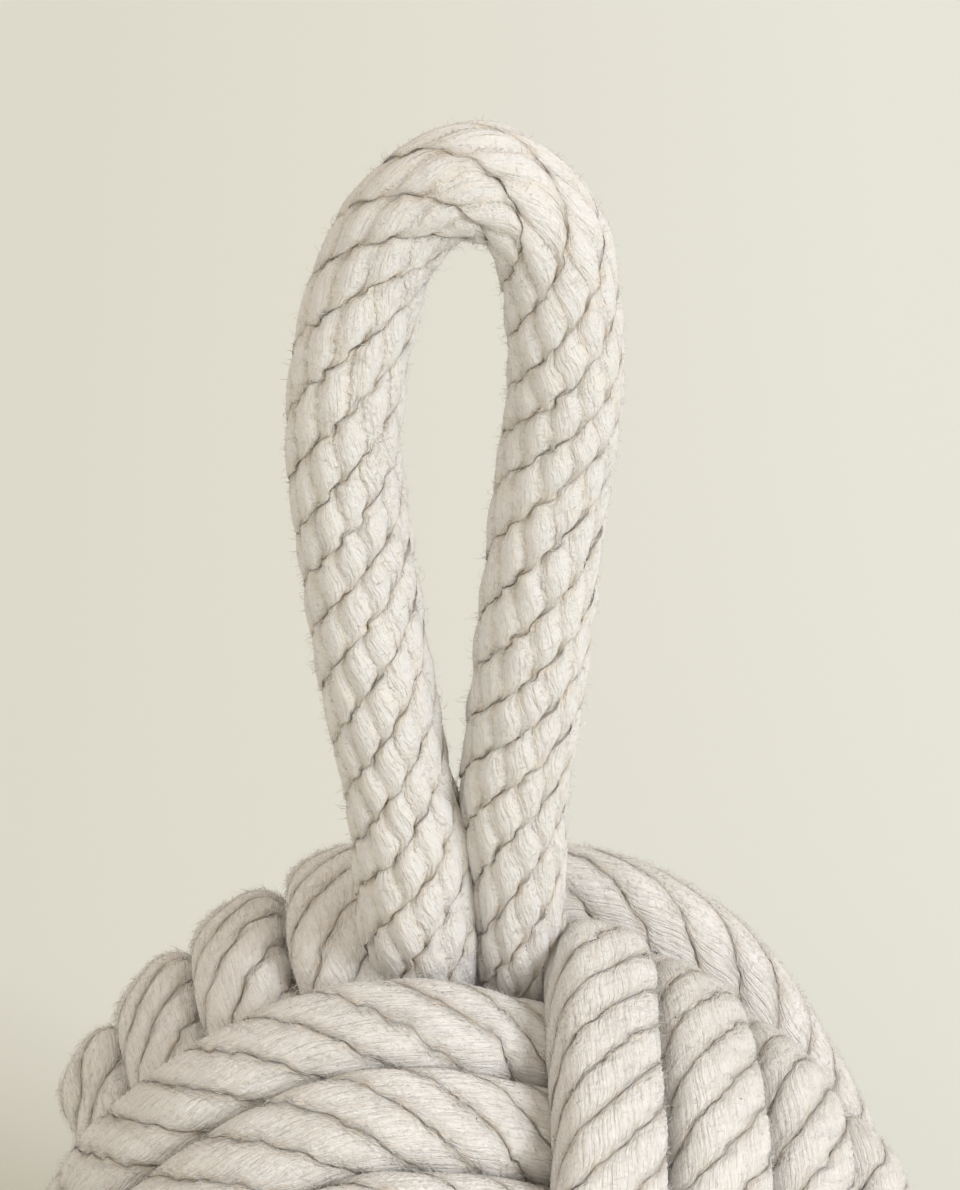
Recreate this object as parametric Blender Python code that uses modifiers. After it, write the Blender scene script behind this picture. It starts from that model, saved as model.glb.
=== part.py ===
"""Rope knot doorstop: a woven rope ball round a weighted bag, with a rope loop as its handle.

Metres, +Z up, the floor at z = 0 and the handle over the origin. The front of the ball is -Y.
"""

import math

import bmesh
import bpy
from mathutils import Vector

# Ball rope: a Turk's head knot, one rope laid side by side with itself
PASSES = 4
BIGHTS = 4
LEADS = 3
KNOT_TUBE = 0.0108
OUTER_LEVEL = 0.0601
LEVEL_STEP = 0.0129
PITCH_UNDER = 0.0121
PITCH_OVER = 0.0140
BIGHT_POLAR_ANGLE = math.radians(39)
BIGHT_FULLNESS = 0.445
LEVEL_SHARPNESS = 4.0
LEVEL_SKEW = -0.216
LANE_SKEW = 0.054
BIGHT_POINTS = 24
BEND_CROWDING = 0.43
LEAST_GAP_WANTED = 0.0004
GAP_SAMPLES = 6

# Where the rope's hidden ends and its shifts to the next lane lie, as phase in a bight's cycle
START_PHASE = math.radians(-120)
SHIFT_START_PHASE = math.radians(60)
SHIFT_SHARE = 0.45

# How much of a rope's width is pressed flat where the ball stands on it
FLAT_SHARE = 0.1

# Handle rope: route of its centre as x and height over the ball's centre, and its diameter there
HANDLE_DIAMETER = 0.0152
HANDLE_BASE_DIAMETER = 0.0142
LEG_SQUEEZED_DIAMETER = 0.0094
LEG_GAP = 0.0006
LEFT_LEG = (
    (-0.0070, 0.0585, 0.0116),
    (-0.0088, 0.0650, 0.0136),
    (-0.0095, 0.0730, HANDLE_BASE_DIAMETER),
    (-0.0105, 0.0830, 0.0148),
    (-0.0124, 0.0970, HANDLE_DIAMETER),
    (-0.0147, 0.1095, HANDLE_DIAMETER),
    (-0.0175, 0.1280, HANDLE_DIAMETER),
)
LOOP = (
    (-0.0181, 0.1360, HANDLE_DIAMETER),
    (-0.0176, 0.1450, HANDLE_DIAMETER),
    (-0.0162, 0.1535, HANDLE_DIAMETER),
    (-0.0128, 0.1643, HANDLE_DIAMETER),
    (-0.0073, 0.1730, HANDLE_DIAMETER),
    (-0.0006, 0.1756, HANDLE_DIAMETER),
    (0.0056, 0.1731, HANDLE_DIAMETER),
    (0.0095, 0.1655, HANDLE_DIAMETER),
    (0.0110, 0.1545, HANDLE_DIAMETER),
    (0.0113, 0.1450, HANDLE_DIAMETER),
)
RIGHT_LEG = (
    (0.0103, 0.1356, HANDLE_DIAMETER),
    (0.0093, 0.1280, HANDLE_DIAMETER),
    (0.0075, 0.1095, HANDLE_DIAMETER),
    (0.0062, 0.0970, HANDLE_DIAMETER),
    (0.0056, 0.0830, 0.0148),
    (0.0057, 0.0730, HANDLE_BASE_DIAMETER),
    (0.0063, 0.0650, 0.0136),
    (0.0060, 0.0585, 0.0116),
)
LEG_SQUEEZE_HEIGHT = 0.0520
HANDLE_STEPS_PER_POINT = 3

# Weighted bag inside, and the twine that nobody sees
TOUCH_GAP = 0.0004
BAG_CLOTH = 0.0010
BAG_SHOULDER_ANGLE = math.radians(62)
SAND_LEVEL_ANGLE = math.radians(72)
BAG_NECK_RADIUS = 0.0080
BAG_NECK_LOW = 0.0215
BAG_NECK_TOP = 0.0260
BAG_ARC_POINTS = 14
TURNED_STEPS = 32
TWINE_DIAMETER = 0.0020
LASHING_HEIGHT = 0.0070
LASHING_LIFT = 0.0020

COTTON = (0.78, 0.72, 0.60)
CALICO = (0.70, 0.66, 0.55)
SAND = (0.62, 0.50, 0.34)
TWINE = (0.66, 0.58, 0.44)


def clear_scene():
    for obj in list(bpy.data.objects):
        bpy.data.objects.remove(obj, do_unlink=True)


def new_collection(name):
    collection = bpy.data.collections.new(name)
    bpy.context.scene.collection.children.link(collection)
    return collection


def add_material(obj, colour, roughness):
    material = bpy.data.materials.new(obj.name)
    material.use_nodes = True
    shader = material.node_tree.nodes["Principled BSDF"]
    shader.inputs["Base Color"].default_value = (*colour, 1)
    shader.inputs["Roughness"].default_value = roughness
    shader.inputs["Metallic"].default_value = 0
    obj.data.materials.append(material)


def add_object(name, data, collection, height=0.0):
    obj = bpy.data.objects.new(name, data)
    collection.objects.link(obj)
    obj.location.z = height
    return obj


# The knot's path

def rope_level(phase, lane):
    """How far out the rope lies, from -1 under a crossing to 1 over it."""
    shifted = phase + LANE_SKEW * lane * math.sin(phase)
    wave = -math.sin(2 * shifted) - LEVEL_SKEW * math.sin(4 * shifted)
    return math.tanh(LEVEL_SHARPNESS * wave) / math.tanh(LEVEL_SHARPNESS)


def knot_point(phase, lane):
    """A point of the rope, from the phase along the bights and the lane counted from the band's middle."""
    turn = phase * LEADS / BIGHTS
    across = math.cos(phase)
    fullness = 1 + BIGHT_FULLNESS * (1 - across * across)
    cosine = math.cos(BIGHT_POLAR_ANGLE) * across * fullness
    sine = math.sqrt(1 - cosine * cosine)
    slope = 1 + BIGHT_FULLNESS - 3 * BIGHT_FULLNESS * across * across
    descent = math.cos(BIGHT_POLAR_ANGLE) * slope * math.sin(phase) * BIGHTS / LEADS / sine
    length = math.hypot(descent, sine)
    outward = Vector((sine * math.sin(turn), -sine * math.cos(turn), cosine))
    south = Vector((cosine * math.sin(turn), -cosine * math.cos(turn), -sine))
    east = Vector((math.cos(turn), math.sin(turn), 0))
    sideways = (east * descent - south * sine) / length
    level = rope_level(phase, lane)
    radius = OUTER_LEVEL - LEVEL_STEP * (1 - level) / 2
    pitch = PITCH_UNDER + (PITCH_OVER - PITCH_UNDER) * (level + 1) / 2
    offset = lane * pitch / radius
    return radius * (outward * math.cos(offset) + sideways * math.sin(offset))


def lane_at(phase):
    """The lane that the rope has reached.

    It shifts to the next one behind the ball on each circuit, the later circuits first, so that the
    ropes there spread over the whole band.
    """
    circuit = 2 * math.pi * BIGHTS
    steady = circuit - 2 * math.pi + SHIFT_START_PHASE - START_PHASE
    done, within = divmod(phase - START_PHASE, circuit)
    shifts_after = PASSES - 2 - done
    if shifts_after < 0:
        return done - (PASSES - 1) / 2
    wait = shifts_after * (1 - SHIFT_SHARE) / (PASSES - 2)
    share = ((within - steady) / (circuit - steady) - wait) / SHIFT_SHARE
    share = min(max(share, 0), 1)
    return done + share * share * (3 - 2 * share) - (PASSES - 1) / 2


def knot_route():
    """The whole rope as points round the ball's centre, both ends under a crossing.

    The points crowd where the rope bends from one level to the other.
    """
    last = 2 * math.pi * (BIGHTS * PASSES - 1) + SHIFT_START_PHASE
    steps = round((last - START_PHASE) / (2 * math.pi) * BIGHT_POINTS)
    even = [START_PHASE + (last - START_PHASE) * i / steps for i in range(steps + 1)]
    phases = [phase - BEND_CROWDING * math.sin(4 * phase) / 4 for phase in even]
    return [knot_point(phase, lane_at(phase)) for phase in phases]


# The handle's path

def squeezed_leg(side):
    """The two lowest points of a leg, side by side with the other in the ball's top hole."""
    x = side * (LEG_SQUEEZED_DIAMETER + LEG_GAP) / 2
    end = BAG_NECK_TOP + TOUCH_GAP
    return [(x, end, LEG_SQUEEZED_DIAMETER), (x, LEG_SQUEEZE_HEIGHT, LEG_SQUEEZED_DIAMETER)]


def handle_route():
    """Points and diameters of the handle rope, read from a smooth curve through its chosen points."""
    chosen = squeezed_leg(-1) + list(LEFT_LEG + LOOP + RIGHT_LEG) + squeezed_leg(1)[::-1]
    ends = [chosen[0], *chosen, chosen[-1]]
    route = []
    for i in range(len(chosen) - 1):
        before, start, end, after = ends[i : i + 4]
        for step in range(HANDLE_STEPS_PER_POINT):
            t = step / HANDLE_STEPS_PER_POINT
            route.append([smooth(a, b, c, d, t) for a, b, c, d in zip(before, start, end, after)])
    route.append(list(chosen[-1]))
    return [(Vector((x, 0, z)), diameter) for x, z, diameter in route]


def smooth(a, b, c, d, t):
    return b + t / 2 * (c - a + t * (2 * a - 5 * b + 4 * c - d + t * (3 * (b - c) + d - a)))


# Measuring

def fine_points(route):
    """Points along the straight runs of a route, with the length of rope before each."""
    found = []
    travelled = 0.0
    for start, end in zip(route, route[1:]):
        for step in range(GAP_SAMPLES):
            share = step / GAP_SAMPLES
            found.append((start.lerp(end, share), travelled + share * (end - start).length))
        travelled += (end - start).length
    found.append((route[-1], travelled))
    return found


def least_gap_to_itself(route, diameter):
    """The least gap between turns, leaving out the rope's own next stretch."""
    points = fine_points(route)
    cells = {}
    for place, travelled in points:
        cell = tuple(math.floor(value / (2 * diameter)) for value in place)
        cells.setdefault(cell, []).append((place, travelled))
    least = math.inf
    for place, travelled in points:
        cell = [math.floor(value / (2 * diameter)) for value in place]
        for dx in (-1, 0, 1):
            for dy in (-1, 0, 1):
                for dz in (-1, 0, 1):
                    near = cells.get((cell[0] + dx, cell[1] + dy, cell[2] + dz), ())
                    for other, reached in near:
                        if reached - travelled > 3 * diameter:
                            least = min(least, (other - place).length - diameter)
    return least


def least_gap_to_handle(route, handle):
    knot = [place for place, _ in fine_points(route)]
    return min(
        (place - centre).length - (KNOT_TUBE + diameter) / 2
        for centre, diameter in handle
        for place in knot
    )


# The pieces

def tube(name, route, diameters, sides_level, collection, height):
    curve = bpy.data.curves.new(name, "CURVE")
    curve.dimensions = "3D"
    curve.bevel_depth = max(diameters) / 2
    curve.bevel_resolution = sides_level
    curve.use_fill_caps = True
    spline = curve.splines.new("POLY")
    spline.points.add(len(route) - 1)
    for point, place, diameter in zip(spline.points, route, diameters):
        point.co = (*place, 1)
        point.radius = diameter / max(diameters)
    return add_object(name, curve, collection, height)


def mesh_from_curve(obj, collection):
    """The curve's tube as a welded mesh under the same name, so that it can be cut."""
    bpy.context.view_layer.update()
    evaluated = obj.evaluated_get(bpy.context.evaluated_depsgraph_get())
    mesh = bpy.data.meshes.new_from_object(evaluated)
    work = bmesh.new()
    work.from_mesh(mesh)
    bmesh.ops.remove_doubles(work, verts=work.verts, dist=0.00001)
    bmesh.ops.recalc_face_normals(work, faces=work.faces)
    work.to_mesh(mesh)
    work.free()
    name, matrix = obj.name, obj.matrix_world.copy()
    bpy.data.objects.remove(obj, do_unlink=True)
    made = add_object(name, mesh, collection)
    made.matrix_world = matrix
    return made


def knot_rope(route, centre_height, parts, cutters):
    """The woven rope, cut flat where the ball stands on it."""
    curve = tube("knot_rope", route, [KNOT_TUBE] * len(route), 1, parts, centre_height)
    rope = mesh_from_curve(curve, parts)
    size = 2 * (OUTER_LEVEL + KNOT_TUBE)
    bpy.ops.mesh.primitive_cube_add(size=size, location=(0, 0, -size / 2))
    floor = bpy.context.object
    floor.name = "floor_cutter"
    for collection in list(floor.users_collection):
        collection.objects.unlink(floor)
    cutters.objects.link(floor)
    floor.hide_render = True
    floor.display_type = "WIRE"
    cut = rope.modifiers.new("flat", "BOOLEAN")
    cut.operation = "DIFFERENCE"
    cut.solver = "EXACT"
    cut.object = floor
    add_material(rope, COTTON, 0.95)


def handle_rope(handle, centre_height, parts):
    route = [place for place, _ in handle]
    diameters = [diameter for _, diameter in handle]
    rope = tube("handle_rope", route, diameters, 4, parts, centre_height)
    add_material(rope, COTTON, 0.95)


def turned(name, profile, collection, height):
    """A profile of (radius, height) points turned round the upright axis."""
    mesh = bpy.data.meshes.new(name)
    work = bmesh.new()
    corners = [work.verts.new((radius, 0, z)) for radius, z in profile]
    for start, end in zip(corners, corners[1:]):
        work.edges.new((start, end))
    work.to_mesh(mesh)
    work.free()
    obj = add_object(name, mesh, collection, height)
    screw = obj.modifiers.new("turn", "SCREW")
    screw.steps = TURNED_STEPS
    screw.render_steps = TURNED_STEPS
    screw.use_normal_flip = True
    screw.use_merge_vertices = True
    screw.merge_threshold = 0.00001
    return obj


def bag_radius_inside(route):
    """The bag fills what the under level of the rope leaves free."""
    return min(place.length for place, _ in fine_points(route)) - KNOT_TUBE / 2 - TOUCH_GAP


def bag_arc(radius, top_angle):
    """The round part of the bag or its fill, from the bottom up to an angle from the top."""
    points = []
    for i in range(BAG_ARC_POINTS + 1):
        angle = math.pi + (top_angle - math.pi) * i / BAG_ARC_POINTS
        points.append((radius * math.sin(angle), radius * math.cos(angle)))
    points[0] = (0, -radius)
    return points


def core_bag(bag_radius, centre_height, parts):
    neck = [(BAG_NECK_RADIUS, BAG_NECK_LOW), (BAG_NECK_RADIUS, BAG_NECK_TOP)]
    bag = turned("core_bag", bag_arc(bag_radius, BAG_SHOULDER_ANGLE) + neck, parts, centre_height)
    shell = bag.modifiers.new("cloth", "SOLIDIFY")
    shell.thickness = BAG_CLOTH
    shell.offset = -1
    add_material(bag, CALICO, 0.9)


def sand_fill(bag_radius, centre_height, parts):
    radius = bag_radius - BAG_CLOTH - TOUCH_GAP
    top = radius * math.cos(SAND_LEVEL_ANGLE)
    profile = [*bag_arc(radius, SAND_LEVEL_ANGLE), (0, top)]
    sand = turned("sand_fill", profile, parts, centre_height)
    add_material(sand, SAND, 0.9)


def bag_tie(centre_height, parts):
    height = (BAG_NECK_LOW + BAG_NECK_TOP) / 2
    bpy.ops.mesh.primitive_torus_add(
        major_radius=BAG_NECK_RADIUS + TWINE_DIAMETER / 2 + TOUCH_GAP,
        minor_radius=TWINE_DIAMETER / 2,
        major_segments=TURNED_STEPS,
        minor_segments=8,
        location=(0, 0, centre_height + height),
    )
    tie = bpy.context.object
    tie.name = "bag_tie"
    for collection in list(tie.users_collection):
        collection.objects.unlink(tie)
    parts.objects.link(tie)
    add_material(tie, TWINE, 0.9)


def stadium(curve, half_run, radius):
    """A closed outline round two circles side by side."""
    spline = curve.splines.new("POLY")
    half = TURNED_STEPS // 2
    angles = [-math.pi / 2 + math.pi * i / half for i in range(half + 1)]
    right = [(half_run + radius * math.cos(a), radius * math.sin(a)) for a in angles]
    outline = right + [(-x, -y) for x, y in right]
    spline.points.add(len(outline) - 1)
    for point, (x, y) in zip(spline.points, outline):
        point.co = (x, y, 0, 1)
    spline.use_cyclic_u = True


def leg_lashing(centre_height, parts):
    curve = bpy.data.curves.new("leg_lashing", "CURVE")
    curve.dimensions = "2D"
    curve.fill_mode = "BOTH"
    curve.extrude = LASHING_HEIGHT / 2
    half_run = (LEG_SQUEEZED_DIAMETER + LEG_GAP) / 2
    inner = LEG_SQUEEZED_DIAMETER / 2 + TOUCH_GAP
    stadium(curve, half_run, inner + TWINE_DIAMETER)
    stadium(curve, half_run, inner)
    height = centre_height + BAG_NECK_TOP + LASHING_LIFT + LASHING_HEIGHT / 2
    lashing = add_object("leg_lashing", curve, parts, height)
    add_material(lashing, TWINE, 0.9)


def build():
    clear_scene()
    parts = new_collection("rope_knot_doorstop")
    cutters = new_collection("cutters")
    route = knot_route()
    handle = handle_route()
    lowest = min(place.z for place in route) - KNOT_TUBE / 2
    centre_height = -lowest - FLAT_SHARE * KNOT_TUBE
    knot_rope(route, centre_height, parts, cutters)
    handle_rope(handle, centre_height, parts)
    bag_radius = bag_radius_inside(route)
    core_bag(bag_radius, centre_height, parts)
    sand_fill(bag_radius, centre_height, parts)
    bag_tie(centre_height, parts)
    leg_lashing(centre_height, parts)
    gap = least_gap_to_itself(route, KNOT_TUBE)
    length = fine_points(route)[-1][1]
    print(f"knot_rope: {length:.3f} m, least gap to itself {gap * 1000:.2f} mm")
    print(f"knot_rope to handle_rope: least gap {least_gap_to_handle(route, handle) * 1000:.2f} mm")
    print(f"ball centre height {centre_height * 1000:.2f} mm, bag radius {bag_radius * 1000:.2f} mm")
    if gap < LEAST_GAP_WANTED:
        print("knot_rope: the turns are too close")


build()
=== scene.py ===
"""Looks of the rope knot doorstop: laid cotton rope with its strands, yarns and loose fibres.

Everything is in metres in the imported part's frame. The rope's routes repeat those of the part's source.
"""

import math

import bpy
import numpy as np
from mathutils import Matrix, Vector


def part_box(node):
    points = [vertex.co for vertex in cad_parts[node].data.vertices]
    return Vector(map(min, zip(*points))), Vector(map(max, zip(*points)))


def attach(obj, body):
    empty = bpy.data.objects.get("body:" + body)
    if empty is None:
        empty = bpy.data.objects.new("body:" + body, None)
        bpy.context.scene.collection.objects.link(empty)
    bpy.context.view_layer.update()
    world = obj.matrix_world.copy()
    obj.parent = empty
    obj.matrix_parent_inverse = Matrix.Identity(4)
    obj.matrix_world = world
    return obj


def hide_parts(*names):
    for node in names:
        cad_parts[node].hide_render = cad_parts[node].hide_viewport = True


MM = 0.001

# The knot: a Turk's head of four bights, four ropes side by side
PASSES = 4
BIGHTS = 4
LEADS = 3
CIRCUIT = 2 * math.pi * BIGHTS
BIGHT_POLAR_ANGLE = math.radians(39)
BIGHT_FULLNESS = 0.445
LEVEL_SHARPNESS = 1.6
LEVEL_SKEW = -0.216
LANE_SKEW = 0.054
OUTER_LEVEL = 59.0 * MM
LEVEL_STEP = 12.0 * MM
PITCH_UNDER = 13.2 * MM
PITCH_OVER = 14.2 * MM
# Where the rope's path starts and where it starts to shift to its next lane. A crossing band lies over
# both, so neither the shift nor the rope's ends show
START_PHASE = math.radians(255)
SHIFT_START_PHASE = math.radians(555)

# The ball's rope: its size outwards, how much wider than its pitch it is, its lay at the front, left,
# back and right bights, the step between its rows, and the points that each pass is computed at
KNOT_HEIGHT = 13.6 * MM
KNOT_SPREAD = 0.7 * MM
KNOT_LAYS = (52 * MM, 46 * MM, 46 * MM, 42 * MM)
KNOT_STEP = 1.0 * MM
KNOT_SAMPLES = 3600

# The ball isn't quite even: its side bights lie lower than the front one, the right-hand one most, and
# it lies a little to the left under the handle
SIDE_DRIFT = math.radians(4.6)
RIGHT_DRIFT = math.radians(2.6)
DRIFT_POWER = 1.2
KNOT_PLACE = np.array([-1.2, 0, 0]) * MM
# Where the ball is fuller or flatter: angle from the top, turn from the front to the right, spread,
# share of the radius
SWELLS = (
    (62, 110, 0.27, -0.055),
    (58, 138, 0.50, -0.035),
    (86, 78, 0.45, 0.030),
    (18, 95, 0.24, 0.050),
    (46, -124, 0.45, -0.030),
)
# Where ropes lie aside of an even knot's: angle from the top, turn from the front to the right, spread,
# degrees up, degrees round
PUSHES = (
    (40, 88, 0.45, 3.5, 0),
    (46, -124, 0.50, -2.5, 0),
    (55, 70, 0.55, 0, 3.2),
)

# The handle's rope: its lay, the step between its rows, how many points its curve has from one place of
# the route to the next, and the route over the ball's centre as x, height and diameter in mm
HANDLE_LAY = 52 * MM
HANDLE_STEP = 0.5 * MM
HANDLE_SMOOTHING = 24
HANDLE_ROUTE = (
    (-5.0, 30.0, 9.4),
    (-5.6, 48.0, 11.0),
    (-7.8, 58.0, 16.2),
    (-8.7, 65.0, 16.6),
    (-9.3, 73.0, 16.2),
    (-9.9, 77.0, 15.8),
    (-11.2, 83.0, 14.8),
    (-12.1, 88.5, 14.8),
    (-13.5, 97.0, 15.3),
    (-15.3, 109.5, 15.2),
    (-17.5, 128.0, 15.2),
    (-18.1, 136.0, 15.2),
    (-17.6, 145.0, 15.2),
    (-16.2, 153.5, 15.2),
    (-13.1, 164.5, 14.4),
    (-7.3, 172.7, 14.3),
    (-0.8, 175.2, 15.4),
    (5.4, 172.5, 14.9),
    (9.5, 165.5, 15.2),
    (11.0, 154.5, 15.2),
    (11.3, 145.0, 15.2),
    (10.3, 135.6, 15.2),
    (9.3, 128.0, 15.2),
    (7.5, 109.5, 15.2),
    (6.2, 97.0, 15.2),
    (4.7, 83.0, 14.8),
    (4.9, 73.0, 13.6),
    (5.2, 65.0, 12.9),
    (5.4, 58.0, 12.6),
    (5.6, 48.0, 11.0),
    (5.0, 30.0, 9.4),
)

# How each rope is laid: six strands with a right-hand lay, and yarns laid the other way in each.
# columns: mesh columns across a strand. square: how flat the rope is pressed, 2 for round.
# lobe: depth of the creases between strands as a share of the radius, and broken: how much it changes.
# yarns: ridges round a strand, relief: their height, and lean: how far they lean against the lay.
# The rest is for the material: its colour, how dark the painted shade in the creases between strands and
# between yarns is, and how far the creases between yarns stray
STRANDS = 6
ROPES = {
    "knot": {
        "columns": 14,
        "square": 3.0,
        "lobe": 0.115,
        "broken": 0.6,
        "yarns": 12,
        "relief": 0.26 * MM,
        "lean": 1.1,
        "cotton": (0.945, 0.932, 0.915),
        "strand_shade": 1.0,
        "yarn_shade": 0.16,
        "yarn_stray": 1.0,
    },
    "handle": {
        "columns": 18,
        "square": 2.0,
        "lobe": 0.135,
        "broken": 0.9,
        "yarns": 5,
        "relief": 0.75 * MM,
        "lean": 1.35,
        # Painted shade: the handle's cotton is the ball's cotton made darker, so that the handle looks
        # less strongly lit
        "cotton": (0.80, 0.792, 0.779),
        "strand_shade": 0.95,
        "yarn_shade": 0.36,
        "yarn_stray": 0.6,
    },
}

# Seeds of the ropes and of their loose cotton
KNOT_SEED = 7
KNOT_SEED_STEP = 100
KNOT_LOOSE_SEED = 50
HANDLE_SEED = 900
HANDLE_LOOSE_SEED = 61

# What wanders along a rope: its wavelength, and what it adds to the rope's seed
WANDERS = {
    "lay": (80 * MM, 0),
    "strands": (30 * MM, 10),
    "relief": (14 * MM, 30),
    "creases": (11 * MM, 31),
    "sway": (3.5 * MM, 41),
    "swing": (3.5 * MM, 42),
}
# A wandering is a sum of waves: how many, the shortest as a share of its wavelength, and their range
WAVES = 4
WAVE_SHORTEST = 0.6
WAVE_RANGE = 0.8
# How much each wandering changes: turns of the lay, fullness of a strand, place of its yarns in yarns,
# height of their relief, and angle of a strand's edges. The power keeps that last one to the edges
LAY_WANDER = 0.05
STRAND_WANDER = 0.15
YARN_WANDER = 0.15
RELIEF_WANDER = 0.4
EDGE_WANDER = 0.06
EDGE_POWER = 4
# Each strand reads the waves of relief and creases this much further on, so that strands differ
RELIEF_SHIFT = 0.011
CREASE_SHIFT = 0.017

# A strand's crown: how far it falls to the edges, and how full it is
CROWN_FALL = 0.82
CROWN_POWER = 0.6
# A yarn's ridge: how full it is, how much of it lies below the strand's surface, and how far the yarns
# of one strand are offset from those of the last
RIDGE_POWER = 0.6
RIDGE_SINK = 0.6
YARN_OFFSET = 0.37
# How much of the relief is left at a strand's edge, and how much its crown adds
RELIEF_EDGE = 0.35
RELIEF_CROWN = 0.65
# How much of a crease between strands is there before a yarn's ridge fills it or the gap between yarns
# deepens it, and the least and most that it is let to change along the rope
CREASE_DEPTH = 0.8
CREASE_RANGE = (0.15, 1.6)

# Loose cotton on the ropes: long bent fibres, straight fuzz, and shorter down on the handle.
# count: how many on a piece of rope. lengths: from the shortest to the longest. rise: how steeply the
# flattest and the steepest leave the rope
LOOSE = {
    "fibres": {"count": 16000, "lengths": (0.6 * MM, 2.6 * MM), "rise": (0.12, 1.02), "bent": True},
    "fuzz": {"count": 45000, "lengths": (0.4 * MM, 1.5 * MM), "rise": (0.3, 2.4), "bent": False},
    "down": {"count": 45000, "lengths": (0.3 * MM, 0.9 * MM), "rise": (0.1, 0.7), "bent": False},
}
FIBRE_RADIUS = 0.028 * MM
FIBRE_SINK = 0.1 * MM
# A bent fibre's thickness at its bend, how far its outer half turns aside, how much of its rise that
# half keeps, and how far it droops
FIBRE_WAIST = 0.8
FIBRE_CURL = 0.8
FIBRE_TIP_RISE = 0.6
FIBRE_DROOP = 0.3
# Loose cotton grows only where the rope shows: on the ball's outside and not far under a crossing band,
# off the floor, and on the handle from this height over the ball's centre
LOOSE_OUTSIDE = 2 * MM
LOOSE_LEVEL = -0.5
LOOSE_OFF_FLOOR = 2 * MM
HANDLE_LOOSE_FROM = 50 * MM

# Cotton: dull places, painted shade in creases, and loose fibres
COTTON_DULL = (0.815, 0.77, 0.70)
COTTON_CREASE_SHADE = (0.83, 0.67, 0.46)
LOOSE_COTTON = (0.93, 0.91, 0.87)
LOOSE_GRAIN = 0.4 * MM
# Cotton's noises in space: cells a metre, detail and roughness. A noise wanders round its middle
NOISE_MIDDLE = 0.5
FLUFF_NOISE = (1900.0, 4.0, 0.75)
TUFT_NOISE = (420.0, 3.0, 0.6)
PATCH_NOISE = (60.0, 3.0, 0.55)
# The fibres' noise is drawn out along the yarns: cells across a yarn and cells a metre along it
FIBRE_CELLS_ACROSS = 4.5
FIBRE_CELLS_ALONG = 170.0
FIBRE_NOISE = (1.0, 4.0, 0.6)
# How a noise dulls the cotton: from which value, in full from which value, and how much
PATCH_DULLING = (0.45, 0.70, 0.20)
FIBRE_DULLING = (0.46, 0.64, 0.70)
FLUFF_DULLING = (0.50, 0.68, 0.30)
# How sharply the painted shade in creases darkens, and the tufts between which it breaks up
STRAND_CREASE_POWER = 1.3
YARN_CREASE_POWER = 2.0
CREASE_BREAKS = (0.38, 0.60)
# Plant specks: cells a metre, size and rarity in the cells, and colour
SPECKS = (
    (110.0, 0.022, 0.86, (0.27, 0.19, 0.12)),
    (47.0, 0.03, 0.93, (0.62, 0.44, 0.20)),
)
# What each noise adds to the bump, what a crease between yarns takes off, and the bump's height
FIBRE_BUMP = 1.8
FLUFF_BUMP = 0.4
TUFT_BUMP = 0.6
YARN_CREASE_BUMP = 1.6
COTTON_BUMP = 0.55 * MM
COTTON_SHADER = {
    "Roughness": 0.95,
    "Specular IOR Level": 0.2,
    "Sheen Weight": 0.15,
    "Sheen Roughness": 0.6,
}

# Hidden pieces: material, colour and size of the grain
HIDDEN_LOOKS = {
    "core_bag": ("calico", (0.72, 0.68, 0.58), 0.8 * MM),
    "sand_fill": ("sand", (0.62, 0.50, 0.34), 0.5 * MM),
    "bag_tie": ("tie_twine", (0.66, 0.58, 0.44), 0.4 * MM),
    "leg_lashing": ("lashing_twine", (0.66, 0.58, 0.44), 0.4 * MM),
}
# Their grain: detail and roughness of its noise, the values between which it goes from dark to light,
# how dark it gets, and its bump
GRAIN_NOISE = (3.0, 0.6)
GRAIN_FADE = (0.35, 0.65)
GRAIN_DARK = 0.7
GRAIN_BUMP = 0.5
CLOTH_SHADER = {"Roughness": 0.9}

# The floor's colour goes from left to right over a short way on each side of the middle: painted shade
# makes the left darker
FLOOR_HALF_SIZE = 4.0
FLOOR_SHADED_LEFT = (0.659, 0.675, 0.6255)
FLOOR_RIGHT = (0.723, 0.7555, 0.720)
FLOOR_HALF_FADE = 0.08
FLOOR_SHADER = {"Roughness": 1.0, "Specular IOR Level": 0.0}

# Far, soft lights: name, turn from the front to the right, height and width in degrees, strength, colour
LIGHTS = (
    ("key", 53, 29, 24, 1.88, (0.945, 0.99, 1.045)),
    ("fill", -40, 30, 60, 0.22, (1.0, 0.98, 0.94)),
)
SKY_STRENGTH = 0.80
SKY_COLOUR = (1.0, 0.90, 0.78)

# Camera, from the photograph's view
IMAGE_HEIGHT_PX = 1190
FOCAL_PX = 7000
SENSOR_MM = 36
CAMERA_DISTANCE = 1.0
CAMERA_ELEVATION = math.radians(36)
CAMERA_PITCH = math.radians(30.4)


# Sampling and curves

def unit(vectors):
    """Vectors brought to length 1."""
    return vectors / np.linalg.norm(vectors, axis=-1, keepdims=True)


def evenly(points, step):
    """Places along a polyline a fixed step apart, as fractional point numbers and as lengths."""
    run = np.linalg.norm(np.diff(points, axis=0), axis=1)
    along = np.concatenate([[0], np.cumsum(run)])
    count = max(int(round(along[-1] / step)), 2)
    wanted = np.linspace(0, along[-1], count + 1)
    return np.interp(wanted, along, np.arange(len(points))), wanted


def at(values, places):
    """Values of a table at fractional rows."""
    rows = np.arange(len(values))
    if values.ndim == 1:
        return np.interp(places, rows, values)
    return np.stack([np.interp(places, rows, column) for column in values.T], 1)


def smooth_curve(points, steps):
    """A Catmull-Rom curve through the chosen points."""
    ends = np.concatenate([points[:1], points, points[-1:]])
    a, b, c, d = (ends[i : len(points) - 1 + i, None, :] for i in range(4))
    t = np.linspace(0, 1, steps, endpoint=False)[None, :, None]
    curve = b + t / 2 * (c - a + t * (2 * a - 5 * b + 4 * c - d + t * (3 * (b - c) + d - a)))
    return np.concatenate([curve.reshape(-1, points.shape[1]), points[-1:]])


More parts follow.
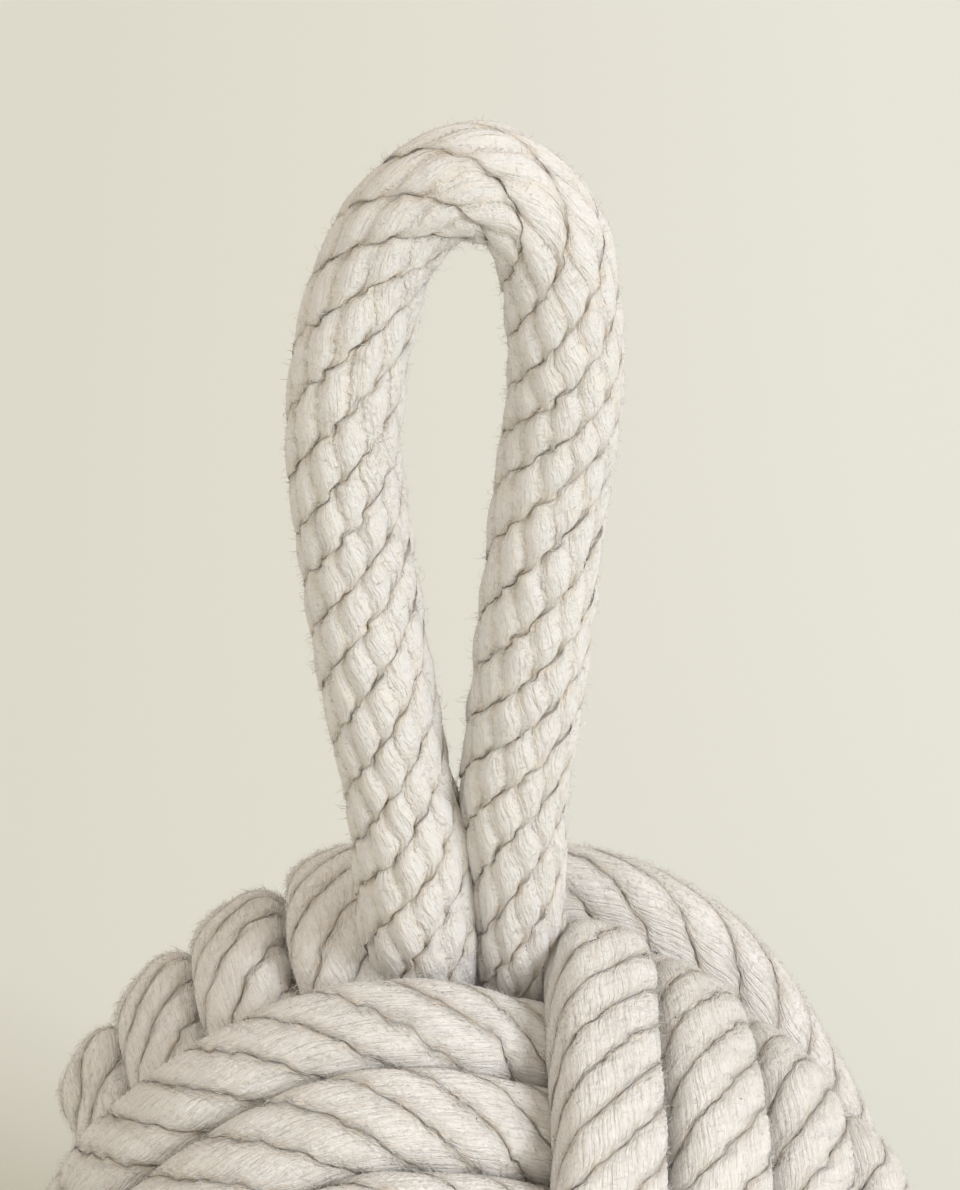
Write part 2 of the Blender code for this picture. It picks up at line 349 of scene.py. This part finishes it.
def wandering(kind, along, seed):
    """A smooth wandering between about -1 and 1 along a rope, the same on every run."""
    wavelength, own_seed = WANDERS[kind]
    random = np.random.default_rng(seed + own_seed)
    total = np.zeros_like(along)
    for _ in range(WAVES):
        wave = wavelength * (WAVE_SHORTEST + WAVE_RANGE * random.random())
        total += np.sin(2 * math.pi * along / wave + 2 * math.pi * random.random())
    return total / math.sqrt(2 * WAVES)


# The knot's route

def heading(polar, turn):
    """The direction at an angle from the top and a turn from the front to the right."""
    flat = np.sin(polar)
    return np.stack([flat * np.sin(turn), -flat * np.cos(turn), np.cos(polar)], -1)


def nearness(outward, polar, turn, spread):
    """1 in the given direction, less and less away from it."""
    away = np.linalg.norm(outward - heading(math.radians(polar), math.radians(turn)), axis=1)
    return np.exp(-((away / spread) ** 2))


def drifted(points):
    """The knot's points moved from an even ball's to the uneven one's."""
    radius = np.linalg.norm(points, axis=1)
    turn = np.arctan2(points[:, 0], -points[:, 1])
    polar = np.arccos(points[:, 2] / radius)
    sideways = np.sin(turn)
    polar += np.abs(sideways) ** DRIFT_POWER * (SIDE_DRIFT + RIGHT_DRIFT * sideways) * np.sin(polar)
    for place_polar, place_turn, spread, lift, push in PUSHES:
        near = nearness(heading(polar, turn), place_polar, place_turn, spread)
        polar = polar - math.radians(lift) * near
        turn = turn + math.radians(push) * near
    outward = heading(polar, turn)
    for place_polar, place_turn, spread, share in SWELLS:
        radius = radius * (1 + share * nearness(outward, place_polar, place_turn, spread))
    return outward * radius[:, None]


def rope_level(phase, lane):
    """1 where the rope passes over a band and -1 where it passes under one."""
    shifted = phase + LANE_SKEW * lane * np.sin(phase)
    wave = -np.sin(2 * shifted) - LEVEL_SKEW * np.sin(4 * shifted)
    return np.tanh(LEVEL_SHARPNESS * wave) / math.tanh(LEVEL_SHARPNESS)


def lanes_at(phase):
    """The lane that the rope runs in, counted from the middle of the band: one further each circuit."""
    steady = CIRCUIT - 2 * math.pi + SHIFT_START_PHASE - START_PHASE
    done, within = np.divmod(phase - START_PHASE, CIRCUIT)
    done = np.minimum(done, PASSES - 1)
    share = np.clip((within - steady) / (CIRCUIT - steady), 0, 1)
    share = np.where(done < PASSES - 1, share, 0)
    return done + share * share * (3 - 2 * share) - (PASSES - 1) / 2


def pitch_at(level):
    """The distance between ropes side by side, which spread where they pass over."""
    return PITCH_UNDER + (PITCH_OVER - PITCH_UNDER) * (level + 1) / 2


def knot_points(phase):
    """Points of the knot's rope round the ball's centre, and how far over or under each lies."""
    lane = lanes_at(phase)
    turn = phase * LEADS / BIGHTS
    across = np.cos(phase)
    cosine = math.cos(BIGHT_POLAR_ANGLE) * across * (1 + BIGHT_FULLNESS * (1 - across * across))
    sine = np.sqrt(1 - cosine * cosine)
    slope = 1 + BIGHT_FULLNESS - 3 * BIGHT_FULLNESS * across * across
    descent = math.cos(BIGHT_POLAR_ANGLE) * slope * np.sin(phase) * BIGHTS / LEADS / sine
    outward = np.stack([sine * np.sin(turn), -sine * np.cos(turn), cosine], 1)
    south = np.stack([cosine * np.sin(turn), -cosine * np.cos(turn), -sine], 1)
    east = np.stack([np.cos(turn), np.sin(turn), np.zeros_like(phase)], 1)
    sideways = east * descent[:, None] - south * sine[:, None]
    sideways /= np.hypot(descent, sine)[:, None]
    level = rope_level(phase, lane)
    radius = OUTER_LEVEL - LEVEL_STEP * (1 - level) / 2
    offset = (lane * pitch_at(level) / radius)[:, None]
    points = radius[:, None] * (outward * np.cos(offset) + sideways * np.sin(offset))
    return drifted(points), level


def pass_phases(number):
    """Phases of one pass round the ball. The last pass ends where the others shift."""
    first = START_PHASE + number * CIRCUIT
    last = first + CIRCUIT
    if number == PASSES - 1:
        last = last - 2 * math.pi + SHIFT_START_PHASE - START_PHASE
    return np.linspace(first, last, KNOT_SAMPLES)


# Rope meshes

def polygon_mesh(name, places, corners, sizes):
    """A mesh whose faces, of the given sizes, take their corners in turn."""
    mesh = bpy.data.meshes.new(name)
    mesh.vertices.add(len(places))
    mesh.vertices.foreach_set("co", places.ravel())
    mesh.loops.add(len(corners))
    mesh.loops.foreach_set("vertex_index", corners)
    mesh.polygons.add(len(sizes))
    mesh.polygons.foreach_set("loop_start", np.concatenate([[0], np.cumsum(sizes)[:-1]]))
    mesh.update(calc_edges=True)
    return mesh


def add_object(name, mesh, collection, material):
    """An object of one material."""
    obj = bpy.data.objects.new(name, mesh)
    collection.objects.link(obj)
    mesh.materials.append(material)
    return obj


def strand_columns(count):
    """Places across a strand from -1 to 1, closer together towards its edges."""
    return np.sin(math.pi / 2 * (2 * np.arange(count) / count - 1))


def laid_turns(along, lays, across, strand, seed):
    """The lay's turns at each row, and the angle round the rope of each of its columns."""
    turns = np.cumsum((along[1] - along[0]) / lays) + LAY_WANDER * wandering("lay", along, seed)
    turns = turns[:, None]
    angle = 2 * math.pi * turns + (strand + across / 2) * 2 * math.pi / STRANDS
    sway = wandering("sway", along, seed)[:, None] * np.cos(angle)
    swing = wandering("swing", along, seed)[:, None] * np.sin(angle)
    return turns, angle + EDGE_WANDER * across**EDGE_POWER * (sway + swing)


def strand_shape(style, run, strand, crown, ridge, wander, seed):
    """What a strand's crown and creases leave of the rope's radius, and the height of its yarns."""
    broken = style["broken"] * wandering("creases", run + CREASE_SHIFT * strand, seed)
    depth = style["lobe"] * np.clip(1 + broken, *CREASE_RANGE)
    hollow = 1 - (1 + STRAND_WANDER * wander) * crown
    lobe = 1 - depth * hollow * (CREASE_DEPTH - CREASE_DEPTH * ridge)
    uneven = 1 + RELIEF_WANDER * wandering("relief", run + RELIEF_SHIFT * strand, seed)
    relief = style["relief"] * ridge * uneven * (RELIEF_EDGE + RELIEF_CROWN * np.sqrt(crown))
    return lobe, relief


def rope_surface(centres, ups, along, widths, heights, lays, rope, seed):
    """Points of a laid rope, one row a step and a few columns to a strand, and values for its material.

    widths and heights are the rope's size across and outwards at each row, and lays its lay there.
    """
    style = ROPES[rope]
    run = along[:, None]
    across = np.tile(strand_columns(style["columns"]), STRANDS)
    strand = np.repeat(np.arange(STRANDS), style["columns"])
    by_strand = [wandering("strands", along, seed + number) for number in range(STRANDS)]
    wander = np.stack(by_strand, 1)[:, strand]

    turns, angle = laid_turns(along, lays, across, strand, seed)
    crown = (1 - CROWN_FALL * across * across) ** CROWN_POWER
    yarn_turns = np.arcsin(across) / (2 * math.pi) + style["lean"] * turns * STRANDS / math.pi
    yarn = style["yarns"] * yarn_turns + YARN_OFFSET * strand + YARN_WANDER * wander
    ridge = np.abs(np.cos(math.pi * yarn)) ** RIDGE_POWER - RIDGE_SINK
    lobe, relief = strand_shape(style, run, strand, crown, ridge, wander, seed)

    square = style["square"]
    rounding = (np.abs(np.sin(angle)) ** square + np.abs(np.cos(angle)) ** square) ** (-1 / square)
    side = (widths[:, None] / 2 * lobe * rounding + relief) * np.sin(angle)
    up = (heights[:, None] / 2 * lobe * rounding + relief) * np.cos(angle)
    tangents = unit(np.gradient(centres, axis=0))
    ups = unit(ups - tangents * np.sum(ups * tangents, axis=1, keepdims=True))
    sides = np.cross(tangents, ups)
    points = centres[:, None] + side[..., None] * sides[:, None] + up[..., None] * ups[:, None]
    flat = np.zeros_like(angle)
    return points, {"crease": 1 - crown + flat, "yarn": yarn, "along": run + flat}


def rope_object(name, points, values, collection, material):
    """A closed tube through the rows of a surface, with the values that its material reads."""
    rows, columns, _ = points.shape
    here = np.arange(rows * columns).reshape(rows, columns)
    beside = np.roll(here, -1, axis=1)
    quads = np.stack([here[:-1], beside[:-1], beside[1:], here[1:]], -1)
    start_cap = np.stack([np.full(columns, rows * columns), beside[0], here[0]], -1)
    end_cap = np.stack([np.full(columns, rows * columns + 1), here[-1], beside[-1]], -1)
    places = np.concatenate([points.reshape(-1, 3), points[[0, -1]].mean(axis=1)])
    corners = np.concatenate([quads.ravel(), start_cap.ravel(), end_cap.ravel()])
    sizes = np.concatenate([np.full(quads.size // 4, 4), np.full(2 * columns, 3)])
    mesh = polygon_mesh(name, places, corners, sizes)
    mesh.shade_smooth()
    for key, field in values.items():
        attribute = mesh.attributes.new(key, "FLOAT", "POINT")
        attribute.data.foreach_set("value", np.concatenate([field.ravel(), field[[0, -1], 0]]))
    mesh.validate()
    return add_object(name, mesh, collection, material)


# Loose cotton

def horn_faces(rings):
    """Faces of one closed horn: its base, and by corner the sides between its rings and to its tip."""
    tip = 3 * rings
    faces = [(2, 1, 0)]
    for corner in range(3):
        after = (corner + 1) % 3
        for ring in range(0, tip - 3, 3):
            faces.append((ring + corner, ring + after, ring + after + 3))
            faces.append((ring + corner, ring + after + 3, ring + corner + 3))
        faces.append((tip - 3 + corner, tip - 3 + after, tip))
    return np.array(faces)


def horn_mesh(name, rings, tip, edge, other):
    """Closed three-sided horns, each through rings of a place and a radius to its tip."""
    corners = []
    for place, radius in rings:
        for corner in range(3):
            spin = corner * 2 * math.pi / 3
            corners.append(place + radius * (math.cos(spin) * edge + math.sin(spin) * other))
    places = np.stack([*corners, tip], 1)
    count, points_each, _ = places.shape
    places = places.reshape(-1, 3)
    places[:, 2] = np.maximum(places[:, 2], 0)
    faces = np.arange(count)[:, None, None] * points_each + horn_faces(len(rings))
    return polygon_mesh(name, places, faces.ravel(), np.full(faces.size // 3, 3))


def rooted(points, shown, count, random):
    """Points picked where a rope shows, the ways to the next ones, and the directions of these ways."""
    rows, columns = np.nonzero(shown[1:-1])
    picked = random.choice(len(rows), count)
    row, column = rows[picked] + 1, columns[picked]
    here = points[row, column]
    ahead = points[row + 1, column]
    beside = points[row, (column + 1) % points.shape[1]]
    lengthways = unit(ahead - points[row - 1, column])
    around = unit(beside - points[row, column - 1])
    return here, ahead - here, beside - here, lengthways, around


def loose_cotton(name, points, shown, kind, seed, collection, material):
    """Fibres rooted where a rope shows, which lie over its surface or stand off it, bent or straight."""
    style = LOOSE[kind]
    count = style["count"]
    random = np.random.default_rng(seed)
    here, ahead, aside, lengthways, around = rooted(points, shown, count, random)
    outward = unit(np.cross(around, lengthways))
    turn = random.uniform(0, 2 * math.pi, (count, 1))
    flat = lengthways * np.cos(turn) + around * np.sin(turn)
    edge = np.cross(outward, flat)
    length = random.uniform(*style["lengths"], (count, 1))
    flattest, steepest = style["rise"]
    rise = flattest + (steepest - flattest) * random.uniform(0, 1, (count, 1)) ** 2
    curl = random.uniform(-FIBRE_CURL, FIBRE_CURL, (count, 1))
    forward, across = random.uniform(0, 1, (2, count, 1))

    root = here - FIBRE_SINK * outward + forward * ahead + across * aside
    middle = root + length / 2 * unit(flat + rise * outward)
    if style["bent"]:
        tip_rise = FIBRE_TIP_RISE * rise - FIBRE_DROOP
        tip = middle + length / 2 * unit(flat + curl * edge + tip_rise * outward)
        rings = ((root, FIBRE_RADIUS), (middle, FIBRE_WAIST * FIBRE_RADIUS))
    else:
        tip = 2 * middle - root
        rings = ((root, FIBRE_RADIUS),)
    mesh = horn_mesh(name, rings, tip, edge, np.cross(flat, edge))
    return add_object(name, mesh, collection, material)


# The two ropes

def dress(piece, *nodes):
    """A piece of rope that moves with the part and takes the place of the given nodes."""
    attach(piece, "root")
    if nodes:
        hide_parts(*nodes)


def make_knot(centre, collection, material, loose_material):
    """The ball's rope, one piece for each pass round the ball, parted where a crossing hides it."""
    bight_phases = 2 * math.pi * np.arange(BIGHTS)
    for number in range(PASSES):
        phase = pass_phases(number)
        route, level = knot_points(phase)
        places, along = evenly(route, KNOT_STEP)
        route, level, phase = at(route, places), at(level, places), at(phase, places)
        widths = pitch_at(level) + KNOT_SPREAD
        heights = np.full(len(phase), KNOT_HEIGHT)
        lays = np.interp(phase, bight_phases, KNOT_LAYS, period=CIRCUIT)
        seed = KNOT_SEED_STEP * number + KNOT_SEED
        points, values = rope_surface(route, route, along, widths, heights, lays, "knot", seed)
        reach = np.linalg.norm(route, axis=1)[:, None] + LOOSE_OUTSIDE
        shown = (np.linalg.norm(points, axis=2) > reach) & (level[:, None] > LOOSE_LEVEL)
        points = points + centre + KNOT_PLACE
        points[..., 2] = np.maximum(points[..., 2], 0)
        shown &= points[..., 2] > LOOSE_OFF_FLOOR
        piece = rope_object(f"knot_rope_pass_{number + 1}", points, values, collection, material)
        dress(piece, "knot_rope")
        for kind in ("fibres", "fuzz"):
            name = f"knot_{kind}_{number + 1}"
            seed = KNOT_LOOSE_SEED + number
            dress(loose_cotton(name, points, shown, kind, seed, collection, loose_material))


def make_handle(centre, collection, material, loose_material):
    """The handle's rope, one piece from end to end of its legs."""
    route = smooth_curve(np.array(HANDLE_ROUTE) * MM, HANDLE_SMOOTHING)
    line = np.stack([route[:, 0], np.zeros(len(route)), route[:, 1]], 1)
    places, along = evenly(line, HANDLE_STEP)
    line = at(line, places)
    width = at(route[:, 2], places)
    ups = np.tile([0.0, -1.0, 0.0], (len(line), 1))
    lays = np.full(len(line), HANDLE_LAY)
    points, values = rope_surface(
        line + centre, ups, along, width, width, lays, "handle", HANDLE_SEED
    )
    piece = rope_object("handle_rope_laid", points, values, collection, material)
    dress(piece, "handle_rope")
    shown = points[..., 2] > centre[2] + HANDLE_LOOSE_FROM
    for kind in ("fibres", "down"):
        name = f"handle_{kind}"
        seed = HANDLE_LOOSE_SEED
        dress(loose_cotton(name, points, shown, kind, seed, collection, loose_material))


# Materials

class Nodes:
    """Short calls for building a material's node tree."""

    # Where a mix node keeps its colours, among sockets of the same names
    MIX_A = 6
    MIX_B = 7
    MIX_RESULT = 2

    def __init__(self, material):
        material.use_nodes = True
        self.tree = material.node_tree
        self.shader = self.tree.nodes["Principled BSDF"]

    def add(self, kind, inputs=None, **settings):
        node = self.tree.nodes.new(kind)
        for key, value in settings.items():
            setattr(node, key, value)
        for key, value in (inputs or {}).items():
            self.put(node.inputs[key], value)
        return node

    def put(self, socket, value):
        """Feed a socket from another one, from an opaque colour or from a number."""
        if isinstance(value, bpy.types.NodeSocket):
            self.tree.links.new(value, socket)
        elif isinstance(value, tuple):
            socket.default_value = (*value, 1)
        else:
            socket.default_value = value

    def feed_shader(self, colour, settings, normal=None):
        """Feed the shader with a colour, plain numbers and, where there is one, a bumped normal."""
        self.put(self.shader.inputs["Base Color"], colour)
        if normal is not None:
            self.put(self.shader.inputs["Normal"], normal)
        for key, value in settings.items():
            self.shader.inputs[key].default_value = value

    def place(self):
        return self.add("ShaderNodeTexCoord").outputs["Object"]

    def value(self, name):
        return self.add("ShaderNodeAttribute", attribute_name=name).outputs["Fac"]

    def math(self, operation, a, b=0.0):
        return self.add("ShaderNodeMath", {0: a, 1: b}, operation=operation).outputs[0]

    def plus(self, a, b):
        return self.math("ADD", a, b)

    def minus(self, a, b):
        return self.math("SUBTRACT", a, b)

    def times(self, a, b):
        return self.math("MULTIPLY", a, b)

    def remap(self, value, low, high, most=1.0):
        """0 up to the low value, the most from the high value on, and evenly between."""
        inputs = {"Value": value, "From Min": low, "From Max": high, "To Max": most}
        return self.add("ShaderNodeMapRange", inputs).outputs["Result"]

    def mix(self, share, a, b):
        inputs = {0: share, self.MIX_A: a, self.MIX_B: b}
        return self.add("ShaderNodeMix", inputs, data_type="RGBA").outputs[self.MIX_RESULT]

    def vector(self, x, y):
        return self.add("ShaderNodeCombineXYZ", {"X": x, "Y": y}).outputs[0]

    def noise(self, vector, scale, detail, roughness):
        inputs = {"Vector": vector, "Scale": scale, "Detail": detail, "Roughness": roughness}
        return self.add("ShaderNodeTexNoise", inputs).outputs["Fac"]

    def specks(self, vector, scale, size, rarity):
        """1 inside a few scattered specks, 0 elsewhere."""
        cells = self.add("ShaderNodeTexVoronoi", {"Vector": vector, "Scale": scale})
        chance = self.add("ShaderNodeSeparateColor", {"Color": cells.outputs["Color"]}).outputs[0]
        inside = self.math("LESS_THAN", cells.outputs["Distance"], size)
        return self.times(inside, self.math("GREATER_THAN", chance, rarity))

    def bump(self, height, distance, strength=1.0):
        inputs = {"Height": height, "Distance": distance, "Strength": strength}
        return self.add("ShaderNodeBump", inputs).outputs[0]


def cotton_material(name, rope):
    """Cotton with dull streaks along its yarns, painted shade in its creases and a few plant specks."""
    style = ROPES[rope]
    material = bpy.data.materials.new(name)
    nodes = Nodes(material)
    place = nodes.place()
    crease, yarn, along = (nodes.value(key) for key in ("crease", "yarn", "along"))
    drawn_out = nodes.vector(
        nodes.times(yarn, FIBRE_CELLS_ACROSS), nodes.times(along, FIBRE_CELLS_ALONG)
    )
    fibres = nodes.noise(drawn_out, *FIBRE_NOISE)
    fluff = nodes.noise(place, *FLUFF_NOISE)
    tufts = nodes.noise(place, *TUFT_NOISE)
    patches = nodes.noise(place, *PATCH_NOISE)

    stray = nodes.times(nodes.minus(tufts, NOISE_MIDDLE), style["yarn_stray"])
    half_turns = nodes.times(nodes.plus(yarn, stray), math.pi)
    ridge = nodes.math("ABSOLUTE", nodes.math("COSINE", half_turns))
    valley = nodes.math("POWER", nodes.minus(1.0, ridge), YARN_CREASE_POWER)
    broken = nodes.remap(tufts, *CREASE_BREAKS)
    # Painted shade: the creases between strands and between yarns are darkened towards a warm brown
    strand_crease_shade = nodes.math("POWER", crease, STRAND_CREASE_POWER)
    strand_crease_shade = nodes.times(strand_crease_shade, nodes.plus(broken, valley))
    strand_crease_shade = nodes.times(strand_crease_shade, style["strand_shade"])
    yarn_crease_shade = nodes.times(nodes.times(valley, broken), style["yarn_shade"])

    painted_shade = nodes.math("MAXIMUM", strand_crease_shade, yarn_crease_shade)
    colour = nodes.mix(painted_shade, style["cotton"], COTTON_CREASE_SHADE)
    colour = nodes.mix(nodes.remap(patches, *PATCH_DULLING), colour, COTTON_DULL)
    colour = nodes.mix(nodes.remap(fibres, *FIBRE_DULLING), colour, COTTON_DULL)
    colour = nodes.mix(nodes.remap(fluff, *FLUFF_DULLING), colour, COTTON_DULL)
    for scale, size, rarity, shade in SPECKS:
        colour = nodes.mix(nodes.specks(place, scale, size, rarity), colour, shade)

    height = nodes.plus(nodes.times(fibres, FIBRE_BUMP), nodes.times(fluff, FLUFF_BUMP))
    height = nodes.plus(height, nodes.times(tufts, TUFT_BUMP))
    height = nodes.minus(height, nodes.times(valley, YARN_CREASE_BUMP * style["yarn_shade"]))
    nodes.feed_shader(colour, COTTON_SHADER, nodes.bump(height, COTTON_BUMP))
    return material


def plain_cloth(name, colour, thread):
    """A fine woven or grainy material for loose fibres and for the pieces that the rope hides."""
    material = bpy.data.materials.new(name)
    nodes = Nodes(material)
    grain = nodes.noise(nodes.place(), 1 / thread, *GRAIN_NOISE)
    dark = tuple(GRAIN_DARK * value for value in colour)
    shade = nodes.mix(nodes.remap(grain, *GRAIN_FADE), dark, colour)
    nodes.feed_shader(shade, CLOTH_SHADER, nodes.bump(grain, thread, GRAIN_BUMP))
    return material


def dress_hidden(frame):
    """Materials for the four solids that the rope hides."""
    for node, look in HIDDEN_LOOKS.items():
        material = plain_cloth(*look)
        for slot in frame["nodes"][node].material_slots:
            slot.material = material


# Stage

def make_floor(collection):
    """A flat floor with painted shade that makes it a little darker on the left, as in the photograph."""
    half = FLOOR_HALF_SIZE
    corners = [(-half, -half, 0), (half, -half, 0), (half, half, 0), (-half, half, 0)]
    mesh = bpy.data.meshes.new("floor")
    mesh.from_pydata(corners, [], [(0, 1, 2, 3)])
    material = bpy.data.materials.new("floor_with_painted_shade")
    nodes = Nodes(material)
    parts = nodes.add("ShaderNodeSeparateXYZ", {"Vector": nodes.place()})
    # Painted shade: the floor's colour darkens towards the left
    rightward = nodes.remap(parts.outputs["X"], -FLOOR_HALF_FADE, FLOOR_HALF_FADE)
    nodes.feed_shader(nodes.mix(rightward, FLOOR_SHADED_LEFT, FLOOR_RIGHT), FLOOR_SHADER)
    add_object("floor", mesh, collection, material)


def make_lights():
    """Two soft suns and a plain sky."""
    for name, turn, elevation, width, strength, colour in LIGHTS:
        light = bpy.data.lights.new(name, "SUN")
        light.angle = math.radians(width)
        light.energy = strength
        light.color = colour
        sun = bpy.data.objects.new(name, light)
        bpy.context.scene.collection.objects.link(sun)
        sun.rotation_euler = (math.radians(90 - elevation), 0, math.radians(turn))
    world = bpy.data.worlds.new("studio")
    bpy.context.scene.world = world
    world.use_nodes = True
    background = world.node_tree.nodes["Background"]
    background.inputs["Color"].default_value = (*SKY_COLOUR, 1)
    background.inputs["Strength"].default_value = SKY_STRENGTH


def make_camera(centre):
    """The photograph's camera, in front of the ball and looking down at it."""
    data = bpy.data.cameras.new("camera")
    data.sensor_fit = "VERTICAL"
    data.sensor_height = SENSOR_MM
    data.lens = FOCAL_PX / IMAGE_HEIGHT_PX * SENSOR_MM
    camera = bpy.data.objects.new("camera", data)
    bpy.context.scene.collection.objects.link(camera)
    back = CAMERA_DISTANCE * math.cos(CAMERA_ELEVATION)
    lift = CAMERA_DISTANCE * math.sin(CAMERA_ELEVATION)
    camera.location = (centre[0], centre[1] - back, centre[2] + lift)
    camera.rotation_euler = (math.pi / 2 - CAMERA_PITCH, 0, 0)
    bpy.context.scene.camera = camera


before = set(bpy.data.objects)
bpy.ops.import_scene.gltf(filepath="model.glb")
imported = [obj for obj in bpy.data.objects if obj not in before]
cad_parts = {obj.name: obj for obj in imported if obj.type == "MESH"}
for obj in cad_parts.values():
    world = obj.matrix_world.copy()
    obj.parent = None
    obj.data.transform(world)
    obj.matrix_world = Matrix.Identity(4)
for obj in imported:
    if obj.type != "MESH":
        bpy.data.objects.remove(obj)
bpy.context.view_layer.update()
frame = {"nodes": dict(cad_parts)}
low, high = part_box("core_bag")
ball_centre = np.array([0, 0, low.z + (high.x - low.x) / 2])
rope_collection = bpy.data.collections.new("rope")
bpy.context.scene.collection.children.link(rope_collection)
make_camera(ball_centre)
make_lights()
make_floor(rope_collection)
loose = plain_cloth("loose_cotton", LOOSE_COTTON, LOOSE_GRAIN)
make_knot(ball_centre, rope_collection, cotton_material("cotton_ball", "knot"), loose)
make_handle(ball_centre, rope_collection, cotton_material("cotton_handle", "handle"), loose)
dress_hidden(frame)
bpy.context.scene.view_settings.view_transform = "Standard"
